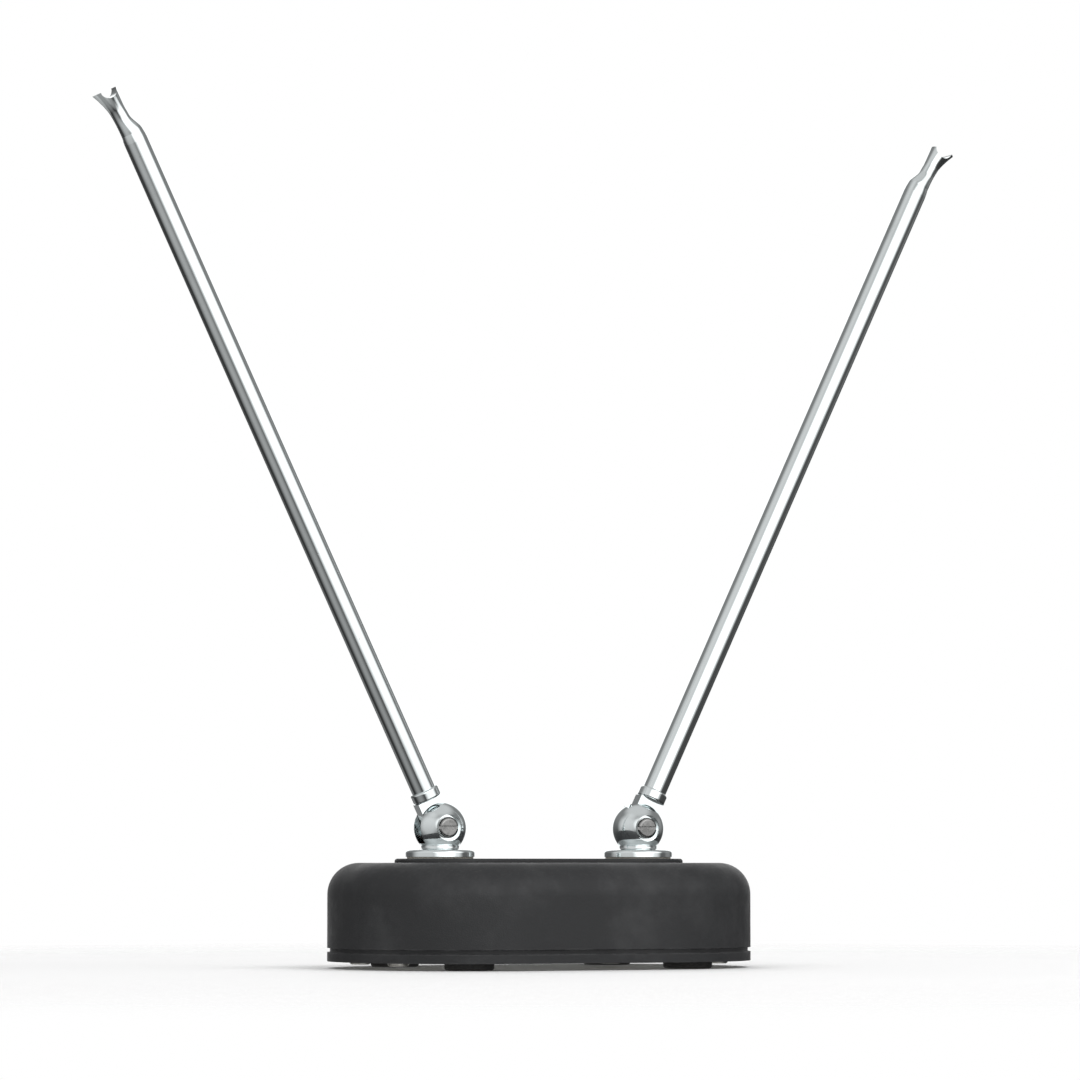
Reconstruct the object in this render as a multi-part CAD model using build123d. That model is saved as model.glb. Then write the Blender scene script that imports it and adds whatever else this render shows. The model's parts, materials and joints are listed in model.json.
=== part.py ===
from build123d import *
import os
from collections import namedtuple
from math import cos, radians, sin, tan

# A set-top rabbit ears antenna: a weighted base with two telescopic rods on turrets that swivel and tilt.
# Millimetres. Z is up and Z = 0 is the table. X runs along the pair of rods. -Y is the front.
# The origin is on the table, under the middle of the base. Rods are shown pushed in, leaning out in a V.
# "right" is +X, and every left piece is the mirror image of the right one.

ScrewSize = namedtuple("ScrewSize", "head_radius head_height shank_radius length")

# ---- Thin stock and clearances
SHELL_WALL = 2.5
PLATE_THICKNESS = 1.5
TUBE_WALL = 0.35
SLIDE_WASHER = 0.5
FRICTION_WASHER = 0.4
FLAT_WASHER = 0.6
SPRING_STOCK = 0.5
CLIP_THICKNESS = 0.8
CONTACT_THICKNESS = 0.5
TAG_THICKNESS = 0.5
CUP_WASHER = 0.8
STRIP_THICKNESS = 2.0
SWIVEL_CLEARANCE = 0.05  # radial, stem in its bearing
PIVOT_CLEARANCE = 0.04  # radial, pivot screw in the rod's eye
SLIDE_CLEARANCE = 0.04  # radial, a section in the rolled end around it, and a bush in its tube
SECTION_GAP = 0.15  # radial, between a tube's bore and the section in it
HOLE_CLEARANCE = 0.15  # radial, plain holes round screws
PLATE_CLEARANCE = 0.3  # each side, bottom plate inside the shell
STOP_CLEARANCE = 0.15  # tang to the turret's stop
END_GAP = 0.5  # between a bush and what is under it
JOIN = 1.0  # how far a boss or seat runs into the wall it grows from

# ---- Base
BASE_WIDTH = 124.0
BASE_DEPTH = 84.0
BASE_END_FLAT = 4.0  # straight stretch in the middle of each end
BASE_TOP = 30.0
BASE_EDGE_ROUND = 9.0
SHELL_FOOT = 2.0  # height of the shell's lower rim above the table
REVEAL_HEIGHT = 2.6  # groove round the skirt: its lower edge above the rim
REVEAL_WIDTH = 1.2
REVEAL_DEPTH = 0.8
FOOT_HEIGHT = 2.6
FOOT_RADIUS = 7.0
FOOT_STEM_RADIUS = 2.5
FOOT_BARB_RADIUS = 3.6
FOOT_BARB_HEIGHT = 1.4
FOOT_EDGE = 0.8
FOOT_INSET = 12.3  # from the base's outside, towards the centre of its corner
FOOT_ANGLE = 64.4  # degrees round that centre, from the X axis
PLATE_SCREW_INSET = 9.5
PLATE_SCREW_ANGLE = 23.2
PLATE_BOSS_RADIUS = 4.0
BALLAST_END_GAP = 26.0  # from the base's outside
BALLAST_SIDE_GAP = 20.0
BALLAST_HEIGHT = 12.0
BALLAST_CORNER = 8.0
BALLAST_EDGE = 1.2
BALLAST_SCREW_INSET = 14.0  # from the ballast's end
PLATE_SCREW = ScrewSize(3.0, 1.6, 1.5, 12.0)
BALLAST_SCREW = ScrewSize(3.6, 1.6, 2.0, 10.0)

# ---- Turrets
PIVOT_SPACING = 62.6
REST_LEAN = 25.9  # degrees between a rod and upright, as the antenna is set up
STEM_RADIUS = 4.5
STEM_TAIL = 1.9  # stem below its clip
STEM_CHAMFER = 0.5
BEARING_WALL = 3.5
BEARING_LENGTH = 7.2
FLANGE_LIP = 5.5  # flange beyond the stem
FLANGE_THICKNESS = 2.0
FLANGE_ROUND = 0.9
DECK_LIP = 3.0  # deck beyond the flange
DECK_HEIGHT = 1.2
DECK_ROUND = 0.8
FLUTE_COUNT = 5
FLUTE_PITCH = 3.8
FLUTE_WIDTH = 1.6
FLUTE_DEPTH = 0.7
FLUTE_END_GAP = 3.5  # from the flange
WASHER_LIP = 2.3  # washer beyond the stem
DISH_HEIGHT = 1.2
CLIP_DEPTH = 0.9
CLIP_LIP = 2.0
POST_RADIUS = 5.5
POST_FLARE = 0.9
TANG_THICKNESS = 4.0
TANG_RADIUS = 4.0
SLOT_FLOOR_GAP = 0.5
EAR_THICKNESS = 2.6
STOP_WALL = 3.35  # wall of the ball beyond the stop
SPOT_GAP = 0.8  # recess round the pivot screw's head
PIVOT_NUT = 2.4
PIVOT_NUT_FLATS = 5.5

# ---- Rods. Places along a rod are distances from its pivot.
ROD_LENGTH = 229.0
OUTER_RADIUS = 3.5
SECTION_COUNT = 5
ROLL_LENGTH = 2.5
COLLAR_GAP = 1.5  # from the ball
COLLAR_THICKNESS = 3.0
COLLAR_LIP = 0.7  # collar beyond the outer tube
COLLAR_ROUND = 0.6
LEVEL_GAP = 2.1  # collar over the flange when the rod is level
SPIGOT_LENGTH = 8.0
BUSH_LENGTH = 4.0
BUSH_WALL = 0.5
BUSH_SLOT = 0.5
CAP_LENGTH = 13.8
CAP_SOCKET = 2.5
CAP_SHOULDER = 5.2  # height of the shoulder that narrows to the neck
CAP_NECK_RADIUS = 2.4
CAP_HEAD_HEIGHT = 6.5
CAP_HEAD_RADIUS = 3.6
CAP_FLARE = 1.4  # power of the head's curve: higher keeps it slim for longer
CAP_LEAN = 1.9  # how far the head's centre leans outward, beyond the shoulder's shift
CAP_SLICES = 14
CAP_NOTCH_RADIUS = 2.6
CAP_NOTCH_DEPTH = 2.4
CAP_NOTCH_SHIFT = 0.5  # inward of the head's centre

# ---- Electrical parts
WINDOW_SIZE = (34.0, 13.0)
STRIP_SIZE = (46.0, 17.0)
FRAME_BORDER = (4.0, 3.0)  # frame round the strip, both sides together
FRAME_DEPTH = 2.5
FRAME_GAP = 0.4  # over the bottom plate
TERMINAL_SPACING = 19.0
STRIP_SCREW_INSET = 3.0
STRIP_SCREW = ScrewSize(2.3, 1.5, 1.25, 5.5)
TERMINAL_NUT = 2.4
TERMINAL_NUT_FLATS = 6.0
SCREW_END = 0.6  # screw beyond its nut
CUP_RADIUS = 3.9
CUP_RIM = 0.5
TAG_RADIUS = 3.4
TAG_WIDTH = 3.0
LEAD_RADIUS = 0.8
LEAD_RISE = 1.0  # lead above the contact spring
TAB_RISE = 2.0  # tabs above the lead
CONTACT_WIDTH = 6.0
CONTACT_BOSS_RADIUS = 3.5
CONTACT_BOSS_GAP = 0.7  # to the washers
CONTACT_TAB_GAP = 4.5  # from the contact screw
CONTACT_SCREW = ScrewSize(2.5, 1.6, 1.25, 5.5)

# ---- Worked-out sizes and places
BASE_CORNER = (BASE_DEPTH - BASE_END_FLAT) / 2
SHELL_TOP_INSIDE = BASE_TOP - SHELL_WALL
PLATE_TOP = FOOT_HEIGHT + PLATE_THICKNESS
PIVOT_X = PIVOT_SPACING / 2
FLANGE_RADIUS = STEM_RADIUS + FLANGE_LIP
DECK_RADIUS = FLANGE_RADIUS + DECK_LIP
WASHER_RADIUS = STEM_RADIUS + WASHER_LIP
DECK_TOP = BASE_TOP + DECK_HEIGHT
FLANGE_BOTTOM = DECK_TOP + SLIDE_WASHER
FLANGE_TOP = FLANGE_BOTTOM + FLANGE_THICKNESS
BEARING_END = DECK_TOP - BEARING_LENGTH
CLIP_BOTTOM = BEARING_END - FLAT_WASHER - DISH_HEIGHT - CLIP_THICKNESS
STEM_END = CLIP_BOTTOM - STEM_TAIL
SECTION_STEP = TUBE_WALL + SECTION_GAP
SECTION_RADII = [OUTER_RADIUS - section * SECTION_STEP for section in range(SECTION_COUNT)]
COLLAR_RADIUS = OUTER_RADIUS + COLLAR_LIP
PIVOT_HEIGHT = FLANGE_TOP + LEVEL_GAP + COLLAR_RADIUS
CLEVIS_GAP = TANG_THICKNESS + 2 * FRICTION_WASHER
CLEVIS_WIDTH = CLEVIS_GAP + 2 * EAR_THICKNESS
BALL_RADIUS = TANG_RADIUS + STOP_CLEARANCE + STOP_WALL
PIVOT_SCREW = ScrewSize(3.0, 1.8, 1.5, CLEVIS_WIDTH + PIVOT_NUT + SCREW_END)
COLLAR_START = BALL_RADIUS + COLLAR_GAP
COLLAR_END = COLLAR_START + COLLAR_THICKNESS
CAP_SEAT = ROD_LENGTH - CAP_LENGTH
FRAME_SIZE = (STRIP_SIZE[0] + FRAME_BORDER[0], STRIP_SIZE[1] + FRAME_BORDER[1])
TERMINAL_HEIGHT = PLATE_TOP + FRAME_GAP + FRAME_SIZE[1] / 2
STRIP_SCREW_X = STRIP_SIZE[0] / 2 - STRIP_SCREW_INSET
WALL_INSIDE_Y = BASE_DEPTH / 2 - SHELL_WALL
STRIP_FRONT_Y = WALL_INSIDE_Y - FRAME_DEPTH
STRIP_BACK_Y = STRIP_FRONT_Y - STRIP_THICKNESS
TERMINAL_STACK = CUP_WASHER + STRIP_THICKNESS + TAG_THICKNESS + TERMINAL_NUT
TERMINAL_SCREW = ScrewSize(3.2, 2.0, 1.75, TERMINAL_STACK + SCREW_END)
LEAD_HEIGHT = STEM_END + LEAD_RISE
TAG_TOP = LEAD_HEIGHT + TAB_RISE
CONTACT_SCREW_Y = WASHER_RADIUS + CONTACT_BOSS_GAP + CONTACT_BOSS_RADIUS
CONTACT_TAB_Y = CONTACT_SCREW_Y + CONTACT_TAB_GAP
BALLAST_WIDTH = BASE_WIDTH - 2 * BALLAST_END_GAP
BALLAST_DEPTH = BASE_DEPTH - 2 * BALLAST_SIDE_GAP
BALLAST_SCREW_X = BALLAST_WIDTH / 2 - BALLAST_SCREW_INSET
UPRIGHT_TO_REST = Pos(PIVOT_X, 0, PIVOT_HEIGHT) * Rot(0, REST_LEAN, 0)


def corner_place(inset, angle):
    """A place in the right back quarter of the plan, measured round the centre of the base's corner."""
    reach = BASE_CORNER - inset
    centre_x = BASE_WIDTH / 2 - BASE_CORNER
    centre_y = BASE_DEPTH / 2 - BASE_CORNER
    return (centre_x + reach * cos(radians(angle)), centre_y + reach * sin(radians(angle)))


FOOT_PLACE = corner_place(FOOT_INSET, FOOT_ANGLE)
PLATE_SCREW_PLACE = corner_place(PLATE_SCREW_INSET, PLATE_SCREW_ANGLE)


def inner_radius(section):
    """Bore of a tube section; section 0 is the outermost."""
    return SECTION_RADII[section] - TUBE_WALL


def bush_start(section):
    """Where the bush under a sliding section begins, with the rod pushed in."""
    first = COLLAR_END + SPIGOT_LENGTH + END_GAP
    return first + (section - 1) * (2 * BUSH_LENGTH + END_GAP)


def section_bottom(section):
    """Where a section's tube begins, with the rod pushed in."""
    return COLLAR_END if section == 0 else bush_start(section) + BUSH_LENGTH


def section_top(section):
    """Where a section's tube ends, with the rod pushed in: level with the rest, or inside the cap."""
    return CAP_SEAT + CAP_SOCKET if section == SECTION_COUNT - 1 else CAP_SEAT


def lip_radius(section):
    """Outside of a tube's rolled-in end, midway between the tube's outside and its mouth."""
    return (SECTION_RADII[section] + SECTION_RADII[section + 1] + SLIDE_CLEARANCE) / 2


def slide_travel(section):
    """How far a sliding section pulls out before its bush meets the rolled end around it."""
    return section_top(section - 1) - ROLL_LENGTH - section_bottom(section) - END_GAP


# ---- Shapes used more than once


def rod_round(radius, bottom, top, place=(0, 0)):
    """Upright round bar between two heights."""
    return Pos(place[0], place[1], (bottom + top) / 2) * Cylinder(radius, top - bottom)


def ring(outer, inner, bottom, top, place=(0, 0)):
    """Upright round ring between two heights."""
    return rod_round(outer, bottom, top, place) - rod_round(inner, bottom, top, place)


def across(radius, length):
    """Round bar along Y, centred on the origin."""
    return Rot(90, 0, 0) * Cylinder(radius, length)


def turned(outline):
    """Solid turned about Z from a closed outline of (radius, height) points and arcs."""
    return revolve(Plane.XZ * make_face(outline.edges()), Axis.Z)


def base_slab(inset, bottom, top):
    """Upright block with the base's plan, drawn in by an inset."""
    plan = RectangleRounded(BASE_WIDTH - 2 * inset, BASE_DEPTH - 2 * inset, BASE_CORNER - inset)
    return Pos(0, 0, bottom) * extrude(plan, top - bottom)


def highest(edges):
    """The uppermost of some edges."""
    return edges.sort_by(Axis.Z)[-1]


def lowest(edges):
    """The lowest of some edges."""
    return edges.sort_by(Axis.Z)[0]


def circles(piece):
    """The round edges of a piece."""
    return piece.edges().filter_by(GeomType.CIRCLE)


def four_corners(place):
    """The same place in each quarter of the plan."""
    return [(x_side * place[0], y_side * place[1]) for x_side in (-1, 1) for y_side in (-1, 1)]


def screw(size):
    """Slotted screw: shank up from Z = 0, rounded head below it."""
    head = rod_round(size.head_radius, -size.head_height, 0)
    head = fillet(lowest(circles(head)), 0.45 * size.head_height)
    slot_depth = size.head_height / 2
    slot_width = 0.3 * size.head_radius
    slot = Box(2 * size.head_radius, slot_width, slot_depth)
    slot = Pos(0, 0, slot_depth / 2 - size.head_height) * slot
    return head - slot + rod_round(size.shank_radius, 0, size.length)


def hex_nut(across_flats, hole_radius, thickness):
    """Hexagon nut, from Z = 0 up."""
    corner_radius = across_flats / 2 / cos(radians(30))
    return extrude(RegularPolygon(corner_radius, 6) - Circle(hole_radius), thickness)


def group(piece, places):
    """Copies of one piece as separate solids in one node."""
    return Compound(children=[Pos(*place) * piece for place in places])


# ---- Base


def shell_block(inset, bottom, top, edge_round):
    """The base's outer form, or its hollow, with a rounded top edge."""
    block = base_slab(inset, bottom, top)
    return fillet(block.faces().sort_by(Axis.Z)[-1].edges(), edge_round)


def base_shell():
    """Moulded cover, open below, with a deck for the turrets and a terminal window in its back."""
    outside = shell_block(0, SHELL_FOOT, BASE_TOP, BASE_EDGE_ROUND)
    hollow = shell_block(SHELL_WALL, SHELL_FOOT, SHELL_TOP_INSIDE, BASE_EDGE_ROUND - SHELL_WALL)
    shell = outside - hollow + (shell_bosses() & outside)
    return shell + deck() - reveal() - flutes() - shell_holes()


def shell_bosses():
    """What stands inside the shell: screw bosses, turret bearings and the frame for the terminal strip."""
    bosses = Part()
    for place in four_corners(PLATE_SCREW_PLACE):
        bosses += rod_round(PLATE_BOSS_RADIUS, PLATE_TOP, BASE_TOP - JOIN, place)
    for side in (-1, 1):
        bearing = (side * PIVOT_X, 0)
        contact = (side * PIVOT_X, CONTACT_SCREW_Y)
        bosses += rod_round(STEM_RADIUS + BEARING_WALL, BEARING_END, BASE_TOP - JOIN, bearing)
        bosses += rod_round(CONTACT_BOSS_RADIUS, STEM_END, BASE_TOP - JOIN, contact)
    frame_middle_y = WALL_INSIDE_Y + (JOIN - FRAME_DEPTH) / 2
    frame = Box(FRAME_SIZE[0], FRAME_DEPTH + JOIN, FRAME_SIZE[1])
    return bosses + Pos(0, frame_middle_y, TERMINAL_HEIGHT) * frame


def deck():
    """Raised seat under both turrets, round at its ends."""
    plan = SlotCenterToCenter(PIVOT_SPACING, 2 * DECK_RADIUS)
    block = Pos(0, 0, BASE_TOP - JOIN) * extrude(plan, DECK_HEIGHT + JOIN)
    return fillet(block.faces().sort_by(Axis.Z)[-1].edges(), DECK_ROUND)


def flutes():
    """Shallow grooves along the deck, between the turrets."""
    length = PIVOT_SPACING - 2 * (FLANGE_RADIUS + FLUTE_END_GAP)
    flute = extrude(SlotOverall(length, FLUTE_WIDTH), FLUTE_DEPTH + JOIN)
    middle = (FLUTE_COUNT - 1) / 2
    grooves = Part()
    for index in range(FLUTE_COUNT):
        grooves += Pos(0, (index - middle) * FLUTE_PITCH, DECK_TOP - FLUTE_DEPTH) * flute
    return grooves


def reveal():
    """Groove round the skirt, a little above its rim."""
    bottom = SHELL_FOOT + REVEAL_HEIGHT
    top = bottom + REVEAL_WIDTH
    return base_slab(-JOIN, bottom, top) - base_slab(REVEAL_DEPTH, bottom, top)


def shell_holes():
    """Everything drilled or cut through the shell."""
    window = Box(WINDOW_SIZE[0], 2 * (SHELL_WALL + FRAME_DEPTH + JOIN), WINDOW_SIZE[1])
    holes = Pos(0, BASE_DEPTH / 2, TERMINAL_HEIGHT) * window
    for side in (-1, 1):
        bearing = (side * PIVOT_X, 0)
        contact = (side * PIVOT_X, CONTACT_SCREW_Y)
        holes += rod_round(STEM_RADIUS + SWIVEL_CLEARANCE, BEARING_END, DECK_TOP, bearing)
        contact_hole_end = contact_leaf_bottom() + CONTACT_SCREW.length
        holes += rod_round(CONTACT_SCREW.shank_radius, STEM_END, contact_hole_end, contact)
    for x, y, z in strip_screw_places(STRIP_BACK_Y + STRIP_SCREW.length / 2):
        holes += Pos(x, y, z) * across(STRIP_SCREW.shank_radius, STRIP_SCREW.length)
    for place in four_corners(PLATE_SCREW_PLACE):
        holes += rod_round(PLATE_SCREW.shank_radius, PLATE_TOP, FOOT_HEIGHT + PLATE_SCREW.length, place)
    return holes


def bottom_plate():
    """Pressed steel plate that closes the shell and carries the ballast and feet."""
    plate = base_slab(SHELL_WALL + PLATE_CLEARANCE, FOOT_HEIGHT, PLATE_TOP)
    for place in four_corners(FOOT_PLACE):
        plate -= rod_round(FOOT_STEM_RADIUS, FOOT_HEIGHT, PLATE_TOP, place)
    for place in four_corners(PLATE_SCREW_PLACE):
        plate -= rod_round(PLATE_SCREW.shank_radius + HOLE_CLEARANCE, FOOT_HEIGHT, PLATE_TOP, place)
    for side in (-1, 1):
        hole_radius = BALLAST_SCREW.shank_radius + HOLE_CLEARANCE
        plate -= rod_round(hole_radius, FOOT_HEIGHT, PLATE_TOP, (side * BALLAST_SCREW_X, 0))
    return plate


def ballast_weight():
    """Cast block that keeps the base down when the rods are pulled out."""
    plan = RectangleRounded(BALLAST_WIDTH, BALLAST_DEPTH, BALLAST_CORNER)
    block = Pos(0, 0, PLATE_TOP) * extrude(plan, BALLAST_HEIGHT)
    block = chamfer(block.faces().sort_by(Axis.Z)[-1].edges(), BALLAST_EDGE)
    tapped_end = FOOT_HEIGHT + BALLAST_SCREW.length
    for side in (-1, 1):
        block -= rod_round(BALLAST_SCREW.shank_radius, PLATE_TOP, tapped_end, (side * BALLAST_SCREW_X, 0))
    return block


def rubber_foot():
    """Push-in foot: a pad below the plate, a stem through it and a barb above."""
    pad = rod_round(FOOT_RADIUS, 0, FOOT_HEIGHT)
    pad = fillet(lowest(circles(pad)), FOOT_EDGE)
    stem = rod_round(FOOT_STEM_RADIUS, FOOT_HEIGHT, PLATE_TOP)
    barb = rod_round(FOOT_BARB_RADIUS, PLATE_TOP, PLATE_TOP + FOOT_BARB_HEIGHT)
    barb = chamfer(highest(circles(barb)), FOOT_EDGE)
    return pad + stem + barb


# ---- Terminals and contacts


def terminal_places(y):
    """Middle of each terminal at a given depth."""
    return [(side * TERMINAL_SPACING / 2, y, TERMINAL_HEIGHT) for side in (-1, 1)]


def strip_screw_places(y):
    """Middle of each strip screw at a given depth."""
    return [(side * STRIP_SCREW_X, y, TERMINAL_HEIGHT) for side in (-1, 1)]


def terminal_strip():
    """Insulating board behind the window in the base's back."""
    middle_y = (STRIP_FRONT_Y + STRIP_BACK_Y) / 2
    board = Pos(0, middle_y, TERMINAL_HEIGHT) * Box(STRIP_SIZE[0], STRIP_THICKNESS, STRIP_SIZE[1])
    for place in terminal_places(middle_y):
        board -= Pos(*place) * across(TERMINAL_SCREW.shank_radius, 2 * STRIP_THICKNESS)
    for place in strip_screw_places(middle_y):
        board -= Pos(*place) * across(STRIP_SCREW.shank_radius + HOLE_CLEARANCE, 2 * STRIP_THICKNESS)
    return board


def cup_washer():
    """Dished washer under a terminal screw's head, with its rim turned back."""
    hole = TERMINAL_SCREW.shank_radius
    inside_rim = CUP_RADIUS - CUP_RIM
    outline = Polyline(
        (hole, 0),
        (CUP_RADIUS, 0),
        (CUP_RADIUS, CUP_WASHER + CUP_RIM),
        (inside_rim, CUP_WASHER + CUP_RIM),
        (inside_rim, CUP_WASHER),
        (hole, CUP_WASHER),
        (hole, 0),
    )
    return Rot(-90, 0, 0) * turned(outline)


def solder_tag():
    """Ring tag inside the strip, with a tail up to its lead. Its ring is centred on the origin."""
    tail_height = TAG_TOP - TERMINAL_HEIGHT
    plan = Circle(TAG_RADIUS) + Pos(0, tail_height / 2) * Rectangle(TAG_WIDTH, tail_height)
    return Plane.XZ * extrude(plan - Circle(TERMINAL_SCREW.shank_radius), TAG_THICKNESS)


def contact_leaf_bottom():
    """Underside of the contact spring, where its screw's head bears."""
    return STEM_END - CONTACT_THICKNESS


def contact_spring():
    """Flat spring that bears on the end of the turret's stem, with a tab turned up for its lead."""
    length = CONTACT_TAB_Y + STEM_RADIUS
    bottom = contact_leaf_bottom()
    leaf_place = Pos(PIVOT_X, CONTACT_TAB_Y - length / 2, bottom + CONTACT_THICKNESS / 2)
    leaf = leaf_place * Box(CONTACT_WIDTH, length, CONTACT_THICKNESS)
    tab_place = Pos(PIVOT_X, CONTACT_TAB_Y - CONTACT_THICKNESS / 2, (bottom + TAG_TOP) / 2)
    tab = tab_place * Box(CONTACT_WIDTH, CONTACT_THICKNESS, TAG_TOP - bottom)
    hole_radius = CONTACT_SCREW.shank_radius + HOLE_CLEARANCE
    return leaf + tab - rod_round(hole_radius, bottom, STEM_END, (PIVOT_X, CONTACT_SCREW_Y))


def lead_route():
    """Corners of the right lead's run from its contact spring to its solder tag."""
    inward = TERMINAL_SPACING / 2 - PIVOT_X
    back = STRIP_BACK_Y - TAG_THICKNESS - CONTACT_TAB_Y
    shares = [(0, 0), (0, 0.3), (0.25, 0.56), (0.76, 0.53), (1, 0.71), (1, 1)]
    return [(PIVOT_X + x * inward, CONTACT_TAB_Y + y * back, LEAD_HEIGHT) for x, y in shares]


def bend_radii(route):
    """Largest tangent arc at each corner that leaves both its runs a straight stretch."""
    points = [Vector(*point) for point in route]
    radii = []
    for before, corner, after in zip(points, points[1:], points[2:]):
        turn = (corner - before).get_angle(after - corner)
        shorter = min((corner - before).length, (after - corner).length)
        radii.append(0.45 * shorter / tan(radians(turn / 2)))
    return radii


def lead():
    """Insulated wire from the contact spring to the solder tag."""
    route = lead_route()
    radii = bend_radii(route)
    print("lead bend radii", [round(radius, 1) for radius in radii])
    path = FilletPolyline(*route, radius=radii)
    start = Plane(origin=route[0], z_dir=Vector(*route[1]) - Vector(*route[0]))
    return sweep(start * Circle(LEAD_RADIUS), path=path)


# ---- Turret


def turret():
    """Plated swivel post: stem down through the shell, flange on top and a slotted ball for the rod."""
    groove = ring(STEM_RADIUS, STEM_RADIUS - CLIP_DEPTH, CLIP_BOTTOM, CLIP_BOTTOM + CLIP_THICKNESS)
    ball = Pos(0, 0, PIVOT_HEIGHT) * Sphere(BALL_RADIUS)
    return Pos(PIVOT_X, 0, 0) * (turned(post_outline()) + ball - groove - ball_cuts())


def post_outline():
    """Half section of the stem, flange and post."""
    flange_edge = FLANGE_TOP - FLANGE_ROUND
    flare_start = (POST_RADIUS + POST_FLARE, FLANGE_TOP)
    flare_end = (POST_RADIUS, FLANGE_TOP + POST_FLARE)
    flat_start = (FLANGE_RADIUS - FLANGE_ROUND, FLANGE_TOP)
    outline = Polyline(
        (0, STEM_END),
        (STEM_RADIUS - STEM_CHAMFER, STEM_END),
        (STEM_RADIUS, STEM_END + STEM_CHAMFER),
        (STEM_RADIUS, FLANGE_BOTTOM),
        (FLANGE_RADIUS, FLANGE_BOTTOM),
        (FLANGE_RADIUS, flange_edge),
    )
    outline += TangentArc((FLANGE_RADIUS, flange_edge), flat_start, tangent=(0, 1))
    outline += Line(flat_start, flare_start)
    outline += TangentArc(flare_start, flare_end, tangent=(-1, 0))
    return outline + Polyline(flare_end, (POST_RADIUS, PIVOT_HEIGHT), (0, PIVOT_HEIGHT), (0, STEM_END))


def ball_cuts():
    """Cuts in the ball: the rod's slot, open outward and upward, the screw's hole and its two seats."""
    stop_x = -TANG_RADIUS - STOP_CLEARANCE
    floor_z = -TANG_RADIUS - SLOT_FLOOR_GAP
    open_side = 2 * BALL_RADIUS
    slot_middle = Pos((stop_x + open_side) / 2, 0, (floor_z + open_side) / 2)
    cuts = slot_middle * Box(open_side - stop_x, CLEVIS_GAP, open_side - floor_z)
    cuts += across(PIVOT_SCREW.shank_radius + HOLE_CLEARANCE, 2 * CLEVIS_WIDTH)
    seat = across(PIVOT_SCREW.head_radius + SPOT_GAP, BALL_RADIUS)
    for side in (-1, 1):
        cuts += Pos(0, side * (CLEVIS_WIDTH + BALL_RADIUS) / 2, 0) * seat
    return Pos(0, 0, PIVOT_HEIGHT) * cuts


def slide_washer():
    """Slippery washer between the deck and the turret's flange."""
    inner = STEM_RADIUS + SWIVEL_CLEARANCE
    return ring(FLANGE_RADIUS - 0.5, inner, DECK_TOP, FLANGE_BOTTOM, (PIVOT_X, 0))


def flat_washer():
    """Washer against the lower end of the bearing boss."""
    inner = STEM_RADIUS + SWIVEL_CLEARANCE
    return ring(WASHER_RADIUS, inner, BEARING_END - FLAT_WASHER, BEARING_END, (PIVOT_X, 0))


def spring_washer():
    """Conical washer that gives the swivel its drag."""
    top = BEARING_END - FLAT_WASHER
    bottom = top - DISH_HEIGHT
    inner = STEM_RADIUS + SWIVEL_CLEARANCE
    outline = Polyline(
        (inner, bottom),
        (WASHER_RADIUS, top - SPRING_STOCK),
        (WASHER_RADIUS, top),
        (inner, bottom + SPRING_STOCK),
        (inner, bottom),
    )
    return Pos(PIVOT_X, 0, 0) * turned(outline)


def retaining_clip():
    """Open clip in the stem's groove, under the spring washer."""
    inner = STEM_RADIUS - CLIP_DEPTH
    outer = STEM_RADIUS + CLIP_LIP
    clip = ring(outer, inner, CLIP_BOTTOM, CLIP_BOTTOM + CLIP_THICKNESS)
    mouth = Pos(0, -outer / 2, CLIP_BOTTOM + CLIP_THICKNESS / 2)
    clip -= mouth * Box(1.6 * inner, outer, CLIP_THICKNESS)
    return Pos(PIVOT_X, 0, 0) * clip


def pivot_screw():
    """Screw through the ball and the rod's eye, head to the front."""
    return Pos(PIVOT_X, -CLEVIS_WIDTH / 2, PIVOT_HEIGHT) * Rot(-90, 0, 0) * screw(PIVOT_SCREW)


def pivot_nut():
    """Nut in the ball's back seat."""
    nut = Rot(-90, 0, 0) * hex_nut(PIVOT_NUT_FLATS, PIVOT_SCREW.shank_radius, PIVOT_NUT)
    return Pos(PIVOT_X, CLEVIS_WIDTH / 2, PIVOT_HEIGHT) * nut


def friction_washers():
    """A washer each side of the rod's eye, which hold the rod where it is put."""
    plan = Circle(TANG_RADIUS - 0.2) - Circle(PIVOT_SCREW.shank_radius + PIVOT_CLEARANCE)
    washer = Rot(90, 0, 0) * extrude(plan, FRICTION_WASHER)
    front = (PIVOT_X, -TANG_THICKNESS / 2, PIVOT_HEIGHT)
    back = (PIVOT_X, TANG_THICKNESS / 2 + FRICTION_WASHER, PIVOT_HEIGHT)
    return group(washer, [front, back])


# ---- Rod, built upright with its pivot at the origin


def rod_eye():
    """Flat eye, collar and spigot that join the rod to its turret."""
    side_view = Circle(TANG_RADIUS)
    side_view += Pos(0, COLLAR_START / 2) * Rectangle(2 * TANG_RADIUS, COLLAR_START)
    tang = extrude(Plane.XZ * side_view, TANG_THICKNESS / 2, both=True)
    collar = rod_round(COLLAR_RADIUS, COLLAR_START, COLLAR_END)
    collar = fillet(circles(collar), COLLAR_ROUND)
    spigot = rod_round(inner_radius(0), COLLAR_END, COLLAR_END + SPIGOT_LENGTH)
    return tang + collar + spigot - across(PIVOT_SCREW.shank_radius + PIVOT_CLEARANCE, 2 * TANG_THICKNESS)


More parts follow.
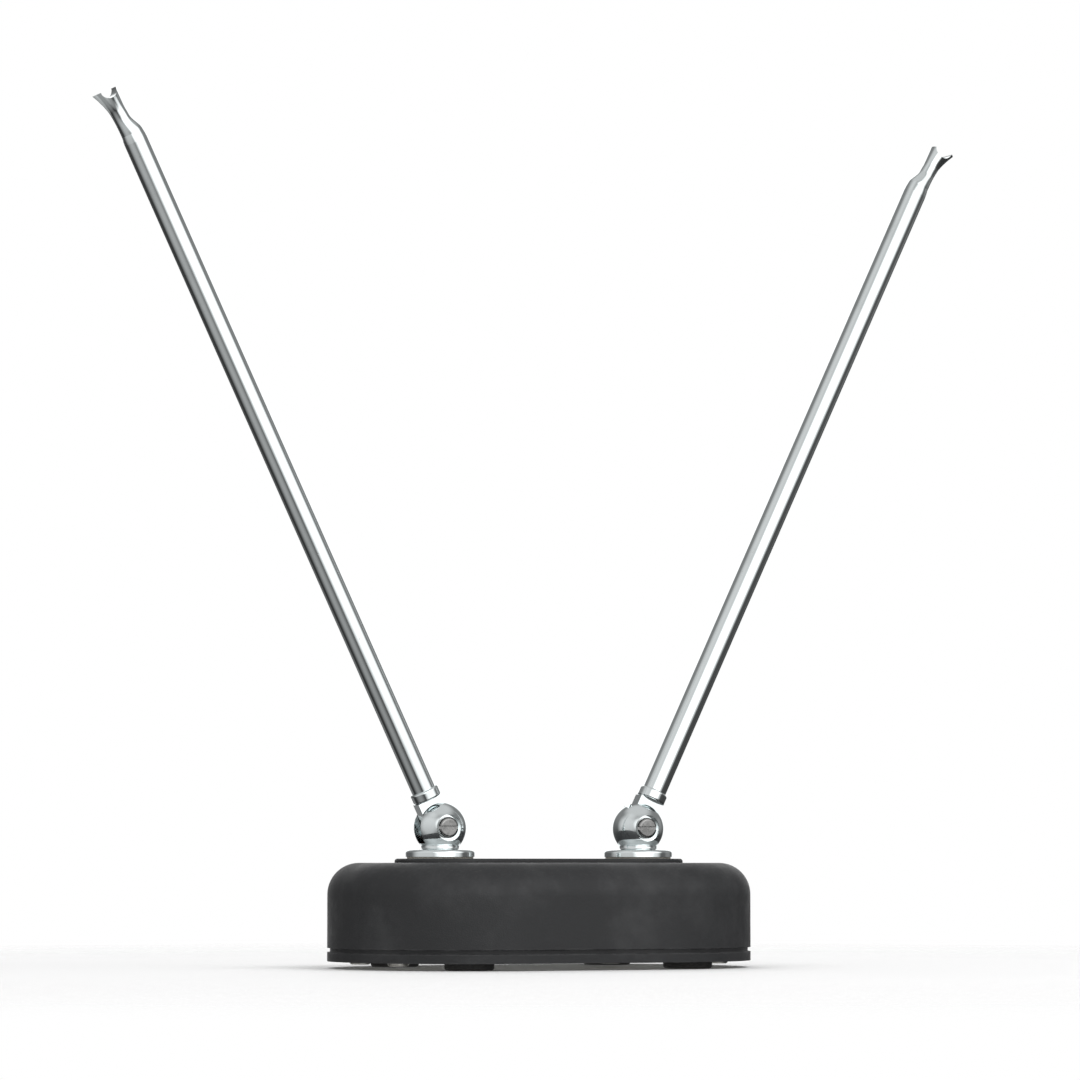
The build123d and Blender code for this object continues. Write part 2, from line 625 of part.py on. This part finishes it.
def tube(section):
    """Tube section whose upper end is rolled in to guide and stop the next section."""
    outer = SECTION_RADII[section]
    inner = inner_radius(section)
    bottom = section_bottom(section)
    top = section_top(section)
    if section == SECTION_COUNT - 1:
        return ring(outer, inner, bottom, top)
    mouth = SECTION_RADII[section + 1] + SLIDE_CLEARANCE
    lip = lip_radius(section)
    roll = top - ROLL_LENGTH
    outline = Polyline(
        (outer, roll),
        (outer, bottom),
        (inner, bottom),
        (inner, roll),
        (mouth, roll + TUBE_WALL),
        (mouth, top),
        (lip, top),
    )
    outline += TangentArc((outer, roll), (lip, top), tangent=(0, 1))
    return turned(outline)


def bush(section):
    """Split bush in a sliding section's lower end, which drags on the tube around it."""
    start = bush_start(section)
    sleeve_end = start + BUSH_LENGTH
    sleeve_radius = inner_radius(section - 1) - SLIDE_CLEARANCE
    spigot_radius = inner_radius(section)
    bore = spigot_radius - BUSH_WALL
    slot_middle = Pos(0, sleeve_radius, (start + sleeve_end) / 2)
    slot = slot_middle * Box(BUSH_SLOT, 2 * sleeve_radius, BUSH_LENGTH)
    sleeve = ring(sleeve_radius, bore, start, sleeve_end) - slot
    return sleeve + ring(spigot_radius, bore, sleeve_end, sleeve_end + BUSH_LENGTH)


def tip_cap():
    """Finger cap on the last section: one-sided shoulder, neck curving outward and notched head."""
    heights = [step / CAP_SLICES * CAP_LENGTH for step in range(CAP_SLICES + 1)]
    notch_x = cap_centre(CAP_LENGTH) - CAP_NOTCH_SHIFT
    notch_z = ROD_LENGTH - CAP_NOTCH_DEPTH + CAP_NOTCH_RADIUS
    notch = Pos(notch_x, 0, notch_z) * across(CAP_NOTCH_RADIUS, 3 * CAP_HEAD_RADIUS)
    socket = rod_round(SECTION_RADII[-1], CAP_SEAT, CAP_SEAT + CAP_SOCKET)
    return loft([cap_slice(height) for height in heights]) - notch - socket


def cap_shift(height):
    """How far the cap's inner side has drawn in at a height above its seat."""
    share = min(height / CAP_SHOULDER, 1)
    return (lip_radius(0) - CAP_NECK_RADIUS) * share**2 * (3 - 2 * share)


def cap_centre(height):
    """How far outward of the rod's axis the cap's middle is at a height above its seat."""
    return cap_shift(height) + CAP_LEAN * (height / CAP_LENGTH) ** 2


def cap_slice(height):
    """The cap's round section at a height above its seat."""
    into_head = max(0, height - CAP_LENGTH + CAP_HEAD_HEIGHT) / CAP_HEAD_HEIGHT
    flare = (CAP_HEAD_RADIUS - CAP_NECK_RADIUS) * into_head**CAP_FLARE
    radius = lip_radius(0) - cap_shift(height) + flare
    return Pos(cap_centre(height), 0, CAP_SEAT + height) * Circle(radius)


# ---- Assembly


def base_nodes():
    """Pieces that both sides share."""
    toward_back = Rot(-90, 0, 0)
    toward_front = Rot(90, 0, 0)
    terminal_nut = toward_front * hex_nut(TERMINAL_NUT_FLATS, TERMINAL_SCREW.shank_radius, TERMINAL_NUT)
    foot_places = [(x, y, 0) for x, y in four_corners(FOOT_PLACE)]
    plate_screw_places = [(x, y, FOOT_HEIGHT) for x, y in four_corners(PLATE_SCREW_PLACE)]
    ballast_screw_places = [(side * BALLAST_SCREW_X, 0, FOOT_HEIGHT) for side in (-1, 1)]
    return {
        "base_shell": base_shell(),
        "bottom_plate": bottom_plate(),
        "ballast_weight": ballast_weight(),
        "rubber_feet": group(rubber_foot(), foot_places),
        "bottom_plate_screws": group(screw(PLATE_SCREW), plate_screw_places),
        "ballast_screws": group(screw(BALLAST_SCREW), ballast_screw_places),
        "terminal_strip": terminal_strip(),
        "terminal_strip_screws": group(toward_back * screw(STRIP_SCREW), strip_screw_places(STRIP_BACK_Y)),
        "terminal_screws": group(
            toward_front * screw(TERMINAL_SCREW), terminal_places(STRIP_FRONT_Y + CUP_WASHER)
        ),
        "terminal_cup_washers": group(cup_washer(), terminal_places(STRIP_FRONT_Y)),
        "terminal_nuts": group(terminal_nut, terminal_places(STRIP_BACK_Y - TAG_THICKNESS)),
        "solder_tags": group(solder_tag(), terminal_places(STRIP_BACK_Y)),
    }


def side_nodes():
    """Pieces of the right-hand side."""
    contact_screw_place = Pos(PIVOT_X, CONTACT_SCREW_Y, contact_leaf_bottom())
    nodes = {
        "contact_spring": contact_spring(),
        "contact_screw": contact_screw_place * screw(CONTACT_SCREW),
        "lead_wire": lead(),
        "turret": turret(),
        "slide_washer": slide_washer(),
        "flat_washer": flat_washer(),
        "spring_washer": spring_washer(),
        "retaining_clip": retaining_clip(),
        "pivot_screw": pivot_screw(),
        "pivot_nut": pivot_nut(),
        "friction_washers": friction_washers(),
        "rod_eye": UPRIGHT_TO_REST * rod_eye(),
        "tip_cap": UPRIGHT_TO_REST * tip_cap(),
    }
    for section in range(SECTION_COUNT):
        nodes[f"tube_{section + 1}"] = UPRIGHT_TO_REST * tube(section)
        if section > 0:
            nodes[f"bush_{section + 1}"] = UPRIGHT_TO_REST * bush(section)
    return nodes


def mirrored(piece):
    """The left-hand twin of a right-hand piece."""
    solids = [mirror(solid, about=Plane.YZ) for solid in piece.solids()]
    return solids[0] if len(solids) == 1 else Compound(children=solids)


def all_nodes():
    """Every node by name."""
    nodes = base_nodes()
    for name, piece in side_nodes().items():
        nodes["right_" + name] = piece
        nodes["left_" + name] = mirrored(piece)
    return nodes


if __name__ == "__main__":
    os.makedirs("parts", exist_ok=True)
    for node, shape in all_nodes().items():
        export_step(shape, f"parts/{node}.step")
    for moving in range(1, SECTION_COUNT):
        print("section", moving + 1, "pulls out", round(slide_travel(moving), 2))
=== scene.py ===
import json
import math

import bpy
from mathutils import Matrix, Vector


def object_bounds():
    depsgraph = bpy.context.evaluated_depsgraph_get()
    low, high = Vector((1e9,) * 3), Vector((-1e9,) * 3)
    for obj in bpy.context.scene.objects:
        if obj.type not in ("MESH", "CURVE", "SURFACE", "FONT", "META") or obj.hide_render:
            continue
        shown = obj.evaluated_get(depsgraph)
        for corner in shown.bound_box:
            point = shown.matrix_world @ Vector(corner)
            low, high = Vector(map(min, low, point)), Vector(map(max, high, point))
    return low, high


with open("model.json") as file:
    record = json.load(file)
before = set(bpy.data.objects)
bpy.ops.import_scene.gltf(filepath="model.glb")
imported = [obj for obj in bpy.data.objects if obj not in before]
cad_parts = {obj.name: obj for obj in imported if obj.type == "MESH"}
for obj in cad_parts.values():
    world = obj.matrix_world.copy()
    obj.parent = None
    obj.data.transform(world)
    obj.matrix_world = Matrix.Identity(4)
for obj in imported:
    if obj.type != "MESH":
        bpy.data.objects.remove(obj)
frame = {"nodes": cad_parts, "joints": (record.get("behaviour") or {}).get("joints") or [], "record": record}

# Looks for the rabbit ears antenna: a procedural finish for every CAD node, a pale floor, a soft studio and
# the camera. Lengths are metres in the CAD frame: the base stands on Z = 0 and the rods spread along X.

CAD_LOW, CAD_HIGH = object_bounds()
CENTRE = (CAD_LOW + CAD_HIGH) / 2
SIDES = ("left", "right")
JOINTS = {joint["name"]: joint for joint in frame["joints"]}
MM = 0.001

# ---- Camera: as far round and as far away as the photograph's, and as low as the floor lets it be
CAMERA_AZIMUTH = -24.5
CAMERA_ELEVATION = -4.0
CAMERA_DISTANCE = 1.34
CAMERA_NEAR = 0.05
CAMERA_FAR = 50.0
FRAME_MARGIN = 1.14

# ---- Stage
FLOOR_SOLID_RADIUS = 0.17
FLOOR_FADE_RADIUS = 0.46
FLOOR_TINT = (0.90, 0.90, 0.90)
FLOOR_ROUGHNESS = 0.75
AMBIENT = 0.62
# What the plating mirrors. Height of the sky as a fraction of straight up, then how bright it is there.
SKY_LOW = (-0.45, 0.035)
SKY_HIGH = (0.55, 0.24)
# Soft bright patches round the object: azimuth, elevation, full inside, gone outside (degrees) and strength
STUDIO_PATCHES = (
    (-6.0, 14.0, 8.0, 42.0, 1.5),  # front
    (32.0, 24.0, 12.0, 36.0, 1.2),  # front right
    (-74.0, 10.0, 20.0, 60.0, 0.52),  # left
    (95.0, 6.0, 6.0, 22.0, 0.12),  # right
    (0.0, 90.0, 20.0, 50.0, 0.4),  # ceiling
    (157.0, 12.0, 12.0, 34.0, 1.3),  # back
    (10.0, -50.0, 14.0, 36.0, 0.3),  # floor in front
    (185.0, -45.0, 14.0, 38.0, 0.4),  # floor behind
    (0.0, -90.0, 22.0, 53.0, 0.3),  # floor underneath
)
# name, azimuth, elevation (degrees), distance, width (metres) and power (watts)
SOFTBOXES = (
    ("key_softbox", 35.0, 52.0, 1.3, 0.9, 7.0),
    ("fill_softbox", -70.0, 40.0, 1.5, 1.1, 3.0),
    ("back_softbox", 170.0, 50.0, 1.4, 0.9, 4.0),
)

# ---- Colours
CHROME_CLEAN = (0.80, 0.845, 0.85)
CHROME_DULL = (0.56, 0.60, 0.60)
CHROME_SPOT = (0.27, 0.255, 0.22)
PLASTIC_DARK = (0.0205, 0.0212, 0.0226)
PLASTIC_WORN = (0.050, 0.051, 0.053)
PLASTIC_EDGE = (0.085, 0.086, 0.088)
DUST = (0.20, 0.195, 0.185)
BOARD_DARK = (0.11, 0.045, 0.016)
BOARD_LIGHT = (0.27, 0.125, 0.045)
BOARD_STAIN = (0.075, 0.03, 0.012)
ZINC_CLEAN = (0.60, 0.60, 0.58)
ZINC_STAIN = (0.36, 0.34, 0.29)
# slot: dark tone, light tone, blotch size (mm), metallic, roughness low and high, grain size and depth (mm)
MOTTLED_FINISHES = {
    "ballast_iron": ((0.045, 0.04, 0.036), (0.13, 0.115, 0.10), 9.0, 0.85, 0.5, 0.75, 0.9, 0.25),
    "foot_rubber": ((0.018, 0.018, 0.019), (0.055, 0.053, 0.05), 6.0, 0.0, 0.62, 0.85, 0.5, 0.06),
    "screw_chrome": ((0.16, 0.16, 0.157), (0.33, 0.33, 0.325), 3.0, 1.0, 0.22, 0.36, 0.5, 0.004),
    "screw_steel": ((0.38, 0.37, 0.34), (0.62, 0.61, 0.58), 2.0, 1.0, 0.25, 0.42, 0.3, 0.012),
    "terminal_brass": ((0.42, 0.27, 0.10), (0.80, 0.62, 0.31), 2.5, 1.0, 0.2, 0.38, 0.3, 0.01),
    "tag_brass": ((0.50, 0.48, 0.42), (0.76, 0.74, 0.68), 2.0, 1.0, 0.3, 0.45, 0.3, 0.01),
    "contact_bronze": ((0.36, 0.19, 0.09), (0.68, 0.44, 0.24), 3.0, 1.0, 0.24, 0.4, 0.3, 0.01),
    "wire_insulation": ((0.15, 0.065, 0.03), (0.25, 0.12, 0.06), 4.0, 0.0, 0.38, 0.5, 0.4, 0.01),
    "nylon": ((0.52, 0.49, 0.42), (0.74, 0.71, 0.64), 3.0, 0.0, 0.35, 0.5, 0.4, 0.015),
    "fibre": ((0.13, 0.03, 0.02), (0.26, 0.07, 0.045), 1.5, 0.0, 0.55, 0.7, 0.3, 0.03),
}

# ---- How large the patterns are, how deep they are cut, and how edges are rounded off
SMUDGE_SIZE = 11 * MM
PIT_SIZE = 1.3 * MM
CHROME_GRAIN_SIZE = 0.32 * MM
DRAWN_GRAIN_DEPTH = 0.02 * MM
POLISHED_GRAIN_DEPTH = 0.008 * MM
RUBBED_SIZE = 30 * MM
SCUFF_SIZE = 1.6 * MM
CHIP_SIZE = 5 * MM
SPECK_SIZE = 0.8 * MM
SPARK_GRAIN_SIZE = 0.45 * MM
SPARK_GRAIN_DEPTH = 0.07 * MM
RIPPLE_SIZE = 2.6 * MM
RIPPLE_DEPTH = 0.04 * MM
FIBRE_SIZE = 0.35 * MM
FIBRE_DEPTH = 0.02 * MM
BOARD_PATCH_SIZE = 8 * MM
ROLLED_LINE_SIZE = 0.6 * MM
ROLLED_LINE_DEPTH = 0.012 * MM
ZINC_STAIN_SIZE = 14 * MM
EDGE_ROUNDING = 0.15 * MM
MOULDED_EDGE_ROUNDING = 0.35 * MM
WORN_EDGE_WIDTH = 0.9 * MM
BEVEL_SAMPLES = 6
# Coordinates are shrunk along the axis that a pattern runs along
DRAWN_STRETCH = (1.0, 1.0, 0.012)
SCUFF_STRETCH = (0.16, 0.6, 1.0)
FIBRE_STRETCH = (0.12, 1.0, 1.0)
ROLLED_STRETCH = (0.02, 1.0, 1.0)


def away_from(azimuth, elevation):
    """Unit vector from the object towards a camera or light, in degrees; azimuth 0 is in front, on -Y."""
    level = math.cos(math.radians(elevation))
    turn = math.radians(azimuth)
    return Vector((math.sin(turn) * level, -math.cos(turn) * level, math.sin(math.radians(elevation))))


def make_camera():
    """Camera at the photograph's viewing angle, aimed at the middle of the object."""
    data = bpy.data.cameras.new("camera")
    camera = bpy.data.objects.new("camera", data)
    bpy.context.scene.collection.objects.link(camera)
    back = away_from(CAMERA_AZIMUTH, CAMERA_ELEVATION)
    camera.location = CENTRE + back * CAMERA_DISTANCE
    camera.rotation_euler = (-back).to_track_quat("-Z", "Y").to_euler()
    framed_width = FRAME_MARGIN * max(CAD_HIGH.z - CAD_LOW.z, CAD_HIGH.x - CAD_LOW.x)
    data.lens = data.sensor_width * CAMERA_DISTANCE / framed_width
    data.clip_start = CAMERA_NEAR
    data.clip_end = CAMERA_FAR
    bpy.context.scene.camera = camera


# ---- Small helpers for node trees


def plug(tree, value, socket):
    """Links an output, or sets a plain value, on a socket."""
    if isinstance(value, bpy.types.NodeSocket):
        tree.links.new(value, socket)
    else:
        socket.default_value = value


def node(tree, kind, inputs=(), **properties):
    """Adds a node, sets its properties, and plugs its first inputs in order."""
    made = tree.nodes.new(kind)
    for name, value in properties.items():
        setattr(made, name, value)
    for socket, value in zip(made.inputs, inputs):
        plug(tree, value, socket)
    return made


def calculate(tree, operation, *values):
    """Result of a Math node."""
    return node(tree, "ShaderNodeMath", values, operation=operation).outputs[0]


def dot_product(tree, first, second):
    """Dot product of two vectors."""
    return node(tree, "ShaderNodeVectorMath", (first, second), operation="DOT_PRODUCT").outputs["Value"]


def mix_color(tree, factor, first, second):
    """Blend of two colours, each a link or plain red, green and blue."""
    made = node(tree, "ShaderNodeMix", data_type="RGBA")
    plug(tree, factor, made.inputs["Factor"])
    for name, value in (("A", first), ("B", second)):
        socket = [s for s in made.inputs if s.name == name and s.type == "RGBA"][0]
        plug(tree, value if isinstance(value, bpy.types.NodeSocket) else (*value, 1.0), socket)
    return [s for s in made.outputs if s.type == "RGBA"][0]


def remap(tree, value, low, high, to_low=0.0, to_high=1.0):
    """Smoothly maps a value's range from low..high to to_low..to_high."""
    made = node(tree, "ShaderNodeMapRange", interpolation_type="SMOOTHSTEP")
    for name, number in (("From Min", low), ("From Max", high), ("To Min", to_low), ("To Max", to_high)):
        made.inputs[name].default_value = number
    plug(tree, value, made.inputs["Value"])
    return made.outputs["Result"]


def noise(tree, place, size, detail=3.0, roughness=0.5):
    """Noise from 0 to 1 whose blotches are about size metres across."""
    made = node(tree, "ShaderNodeTexNoise", (place,))
    made.inputs["Scale"].default_value = 1.0 / size
    made.inputs["Detail"].default_value = detail
    made.inputs["Roughness"].default_value = roughness
    return made.outputs["Fac"]


def stretched(tree, place, factors):
    """Coordinates scaled axis by axis, so a pattern runs long or short along each."""
    made = node(tree, "ShaderNodeMapping", (place,))
    made.inputs["Scale"].default_value = factors
    return made.outputs["Vector"]


def object_space(tree):
    """The object's own coordinates, which are the CAD frame's."""
    return node(tree, "ShaderNodeTexCoord").outputs["Object"]


def rod_space(tree, origin, lean):
    """Coordinates with their origin at a pivot and Z along the rod that leans from it."""
    made = node(tree, "ShaderNodeMapping", (object_space(tree),), vector_type="TEXTURE")
    made.inputs["Location"].default_value = origin
    made.inputs["Rotation"].default_value = (0.0, lean, 0.0)
    return made.outputs["Vector"]


def bump(tree, height, distance, under=None):
    """The surface's normal, or another, raised by a height from 0 to 1 over a distance in metres."""
    made = node(tree, "ShaderNodeBump")
    made.inputs["Distance"].default_value = distance
    plug(tree, height, made.inputs["Height"])
    if under is not None:
        plug(tree, under, made.inputs["Normal"])
    return made.outputs["Normal"]


def softened(tree, radius):
    """Normal that rounds sharp edges off by a radius, so they catch light as real ones do."""
    made = node(tree, "ShaderNodeBevel", samples=BEVEL_SAMPLES)
    made.inputs["Radius"].default_value = radius
    return made.outputs["Normal"]


def edge_mask(tree, radius, low, high):
    """1 along edges and 0 on open faces."""
    true_normal = node(tree, "ShaderNodeNewGeometry").outputs["Normal"]
    along = dot_product(tree, softened(tree, radius), true_normal)
    return remap(tree, calculate(tree, "SUBTRACT", 1.0, along), low, high)


def facing_up(tree):
    """1 where the surface faces straight up and 0 where it stands upright."""
    surface = node(tree, "ShaderNodeNewGeometry").outputs["Normal"]
    return node(tree, "ShaderNodeSeparateXYZ", (surface,)).outputs["Z"]


def new_material(name, metallic=0.0, specular=0.5):
    """A material, its tree and its shader."""
    material = bpy.data.materials.new(name)
    material.use_nodes = True
    shader = material.node_tree.nodes["Principled BSDF"]
    shader.inputs["Metallic"].default_value = metallic
    shader.inputs["Specular IOR Level"].default_value = specular
    return material, material.node_tree, shader


def finish(tree, shader, color, roughness, normal):
    """Plugs a finish's three patterns into its shader."""
    plug(tree, color, shader.inputs["Base Color"])
    plug(tree, roughness, shader.inputs["Roughness"])
    plug(tree, normal, shader.inputs["Normal"])


# ---- Materials


def chrome(name, drawn, wear, origin=(0, 0, 0), lean=0.0):
    """Bright plating, drawn along a rod or polished, with more smudges and pits the larger its wear."""
    material, tree, shader = new_material(name, metallic=1.0)
    place = rod_space(tree, origin, lean)
    smudge = noise(tree, place, SMUDGE_SIZE, detail=4.0, roughness=0.6)
    grain_place = stretched(tree, place, DRAWN_STRETCH) if drawn else place
    grain = noise(tree, grain_place, CHROME_GRAIN_SIZE, detail=2.0)
    pits = remap(tree, noise(tree, place, PIT_SIZE, detail=2.0), 0.73, 0.80, 0.0, 0.8 * wear)
    color = mix_color(tree, remap(tree, smudge, 0.52, 0.80, 0.0, 0.6 * wear), CHROME_CLEAN, CHROME_DULL)
    color = mix_color(tree, pits, color, CHROME_SPOT)
    rough = remap(tree, smudge, 0.40, 0.75, 0.05, 0.05 + 0.12 * wear)
    rough = calculate(tree, "MULTIPLY_ADD", remap(tree, grain, 0.3, 0.8), 0.05, rough)
    rough = calculate(tree, "MULTIPLY_ADD", pits, 0.25, rough)
    height = calculate(tree, "MULTIPLY_ADD", pits, -0.6, calculate(tree, "MULTIPLY", grain, 0.35))
    normal = bump(tree, height, DRAWN_GRAIN_DEPTH if drawn else POLISHED_GRAIN_DEPTH)
    finish(tree, shader, color, rough, normal)
    return material


def moulded_plastic():
    """Charcoal moulded plastic: spark grain, rubbed patches and edges, scuffs, and dust on what faces up."""
    material, tree, shader = new_material("base_plastic", specular=0.4)
    place = object_space(tree)
    rubbed = remap(tree, noise(tree, place, RUBBED_SIZE, detail=7.0, roughness=0.68), 0.46, 0.70)
    grain = noise(tree, place, SPARK_GRAIN_SIZE, detail=3.0, roughness=0.6)
    scuff_place = stretched(tree, place, SCUFF_STRETCH)
    scuffs = remap(tree, noise(tree, scuff_place, SCUFF_SIZE, detail=5.0, roughness=0.75), 0.66, 0.76)
    scuffs = calculate(tree, "MULTIPLY", scuffs, rubbed)
    chips = remap(tree, noise(tree, place, CHIP_SIZE, detail=6.0, roughness=0.7), 0.38, 0.66)
    worn_edge = calculate(tree, "MULTIPLY", edge_mask(tree, WORN_EDGE_WIDTH, 0.02, 0.22), chips)
    color = mix_color(tree, calculate(tree, "MULTIPLY", rubbed, 0.4), PLASTIC_DARK, PLASTIC_WORN)
    color = mix_color(tree, calculate(tree, "MULTIPLY", scuffs, 0.5), color, PLASTIC_EDGE)
    color = mix_color(tree, calculate(tree, "MULTIPLY", worn_edge, 0.75), color, PLASTIC_EDGE)
    specks = remap(tree, noise(tree, place, SPECK_SIZE, detail=5.0, roughness=0.7), 0.52, 0.74)
    settled = calculate(tree, "MULTIPLY", remap(tree, facing_up(tree), 0.3, 0.97), specks)
    color = mix_color(tree, calculate(tree, "MULTIPLY", settled, 0.2), color, DUST)
    rough = calculate(tree, "MULTIPLY_ADD", rubbed, -0.14, 0.5)
    rough = calculate(tree, "MULTIPLY_ADD", grain, 0.14, rough)
    rough = calculate(tree, "MULTIPLY_ADD", settled, 0.2, rough)
    normal = bump(tree, grain, SPARK_GRAIN_DEPTH, softened(tree, MOULDED_EDGE_ROUNDING))
    normal = bump(tree, noise(tree, place, RIPPLE_SIZE, detail=1.0), RIPPLE_DEPTH, normal)
    finish(tree, shader, color, rough, normal)
    return material


def mottled(name, dark, light, size, metallic, rough_low, rough_high, grain, depth):
    """A two-tone finish with soft blotches and a fine bumpy grain; sizes are millimetres."""
    material, tree, shader = new_material(name, metallic=metallic)
    place = object_space(tree)
    blotch = noise(tree, place, size * MM, detail=5.0, roughness=0.6)
    fine = noise(tree, place, grain * MM, detail=3.0)
    blend = calculate(tree, "MULTIPLY_ADD", fine, 0.35, calculate(tree, "MULTIPLY", blotch, 0.75))
    color = mix_color(tree, remap(tree, blend, 0.35, 0.75), dark, light)
    rough = remap(tree, blotch, 0.3, 0.7, rough_low, rough_high)
    finish(tree, shader, color, rough, bump(tree, fine, depth * MM, softened(tree, EDGE_ROUNDING)))
    return material


def phenolic_board():
    """Brown laminated board: paper fibres one way, a soft gloss."""
    material, tree, shader = new_material("terminal_board")
    place = object_space(tree)
    fibre = noise(tree, stretched(tree, place, FIBRE_STRETCH), FIBRE_SIZE, detail=4.0, roughness=0.7)
    patch = noise(tree, place, BOARD_PATCH_SIZE, detail=3.0)
    color = mix_color(tree, remap(tree, fibre, 0.3, 0.75), BOARD_DARK, BOARD_LIGHT)
    color = mix_color(tree, remap(tree, patch, 0.4, 0.8, 0.0, 0.5), color, BOARD_STAIN)
    rough = remap(tree, patch, 0.3, 0.7, 0.28, 0.46)
    finish(tree, shader, color, rough, bump(tree, fibre, FIBRE_DEPTH, softened(tree, EDGE_ROUNDING)))
    return material


def rolled_steel():
    """Zinc-plated sheet with rolling lines and a slightly stained surface."""
    material, tree, shader = new_material("plate_steel", metallic=1.0)
    place = object_space(tree)
    lines = noise(tree, stretched(tree, place, ROLLED_STRETCH), ROLLED_LINE_SIZE, detail=3.0)
    stain = noise(tree, place, ZINC_STAIN_SIZE, detail=5.0, roughness=0.65)
    color = mix_color(tree, remap(tree, stain, 0.45, 0.75), ZINC_CLEAN, ZINC_STAIN)
    rough = calculate(tree, "MULTIPLY_ADD", lines, 0.18, remap(tree, stain, 0.3, 0.7, 0.26, 0.42))
    finish(tree, shader, color, rough, bump(tree, lines, ROLLED_LINE_DEPTH, softened(tree, EDGE_ROUNDING)))
    return material


def shared_finishes():
    """Finishes that both sides and the base use, by material slot."""
    finishes = {slot: mottled(slot, *values) for slot, values in MOTTLED_FINISHES.items()}
    finishes["base_plastic"] = moulded_plastic()
    finishes["terminal_board"] = phenolic_board()
    finishes["plate_steel"] = rolled_steel()
    finishes["turret_chrome"] = chrome("turret_chrome", drawn=False, wear=1.0)
    return finishes


def rod_finishes(side):
    """One rod's plating, with its drawing lines along that rod."""
    pivot = JOINTS[f"{side}_tilt"]["pos_m"]
    axis = JOINTS[f"{side}_slide_2"]["axis"]
    lean = math.atan2(axis[0], axis[2])
    return {
        "rod_chrome": chrome(f"{side}_rod_chrome", drawn=True, wear=0.6, origin=pivot, lean=lean),
        "cap_chrome": chrome(f"{side}_cap_chrome", drawn=False, wear=1.2, origin=pivot, lean=lean),
        "eye_chrome": chrome(f"{side}_eye_chrome", drawn=False, wear=1.0, origin=pivot, lean=lean),
    }


def give_finishes():
    """Puts a finish on every CAD node by its material slot."""
    shared = shared_finishes()
    rods = {side: rod_finishes(side) for side in SIDES}
    for part in frame["record"]["subparts"]:
        name, slot = part["node"], part["material_slot"]
        material = shared[slot] if slot in shared else rods[name.split("_")[0]][slot]
        for place in frame["nodes"][name].material_slots:
            place.material = material


# ---- Stage: floor, studio surroundings and lights


def make_floor():
    """Pale floor that fades into the white surroundings; the plating doesn't mirror it."""
    bpy.ops.mesh.primitive_circle_add(vertices=96, radius=1.0, fill_type="NGON", location=(0, 0, 0))
    floor = bpy.context.object
    floor.name = "floor"
    material, tree, shader = new_material("floor_paint")
    distance = node(tree, "ShaderNodeVectorMath", (object_space(tree),), operation="LENGTH").outputs["Value"]
    fade = remap(tree, distance, FLOOR_SOLID_RADIUS, FLOOR_FADE_RADIUS, 1.0, 0.0)
    mirrored = node(tree, "ShaderNodeLightPath").outputs["Is Glossy Ray"]
    shader.inputs["Base Color"].default_value = (*FLOOR_TINT, 1.0)
    shader.inputs["Roughness"].default_value = FLOOR_ROUGHNESS
    alpha = calculate(tree, "MULTIPLY", fade, calculate(tree, "SUBTRACT", 1.0, mirrored))
    plug(tree, alpha, shader.inputs["Alpha"])
    floor.data.materials.append(material)


def studio_glow(tree):
    """Brightness of what shiny surfaces mirror: bright patches on a sky that darkens downward."""
    direction = node(tree, "ShaderNodeTexCoord").outputs["Generated"]
    height = node(tree, "ShaderNodeSeparateXYZ", (direction,)).outputs["Z"]
    glow = remap(tree, height, SKY_LOW[0], SKY_HIGH[0], SKY_LOW[1], SKY_HIGH[1])
    for azimuth, elevation, inside, outside, strength in STUDIO_PATCHES:
        closeness = dot_product(tree, direction, away_from(azimuth, elevation))
        edge, core = math.cos(math.radians(outside)), math.cos(math.radians(inside))
        glow = calculate(tree, "ADD", glow, remap(tree, closeness, edge, core, 0.0, strength))
    return glow


def make_surroundings():
    """White behind the object, a plain soft light on it, and the studio in its mirror surfaces."""
    world = bpy.data.worlds.new("studio")
    world.use_nodes = True
    bpy.context.scene.world = world
    tree = world.node_tree
    tree.nodes.clear()
    ray = node(tree, "ShaderNodeLightPath").outputs
    plain = calculate(tree, "MAXIMUM", ray["Is Camera Ray"], AMBIENT)
    by_mirror = calculate(tree, "MULTIPLY", ray["Is Glossy Ray"], studio_glow(tree))
    by_rest = calculate(tree, "MULTIPLY", calculate(tree, "SUBTRACT", 1.0, ray["Is Glossy Ray"]), plain)
    strength = calculate(tree, "ADD", by_mirror, by_rest)
    background = node(tree, "ShaderNodeBackground", ((1.0, 1.0, 1.0, 1.0), strength))
    node(tree, "ShaderNodeOutputWorld", (background.outputs[0],))


def make_softbox(name, azimuth, elevation, distance, width, power):
    """A square soft light aimed at the middle of the object, unseen by the plating."""
    data = bpy.data.lights.new(name, "AREA")
    data.shape = "SQUARE"
    data.size = width
    data.energy = power
    light = bpy.data.objects.new(name, data)
    back = away_from(azimuth, elevation)
    light.location = CENTRE + back * distance
    light.rotation_euler = (-back).to_track_quat("-Z", "Y").to_euler()
    light.visible_glossy = False
    bpy.context.scene.collection.objects.link(light)


make_camera()
give_finishes()
make_floor()
make_surroundings()
for softbox in SOFTBOXES:
    make_softbox(*softbox)
bpy.context.scene.view_settings.view_transform = "Standard"
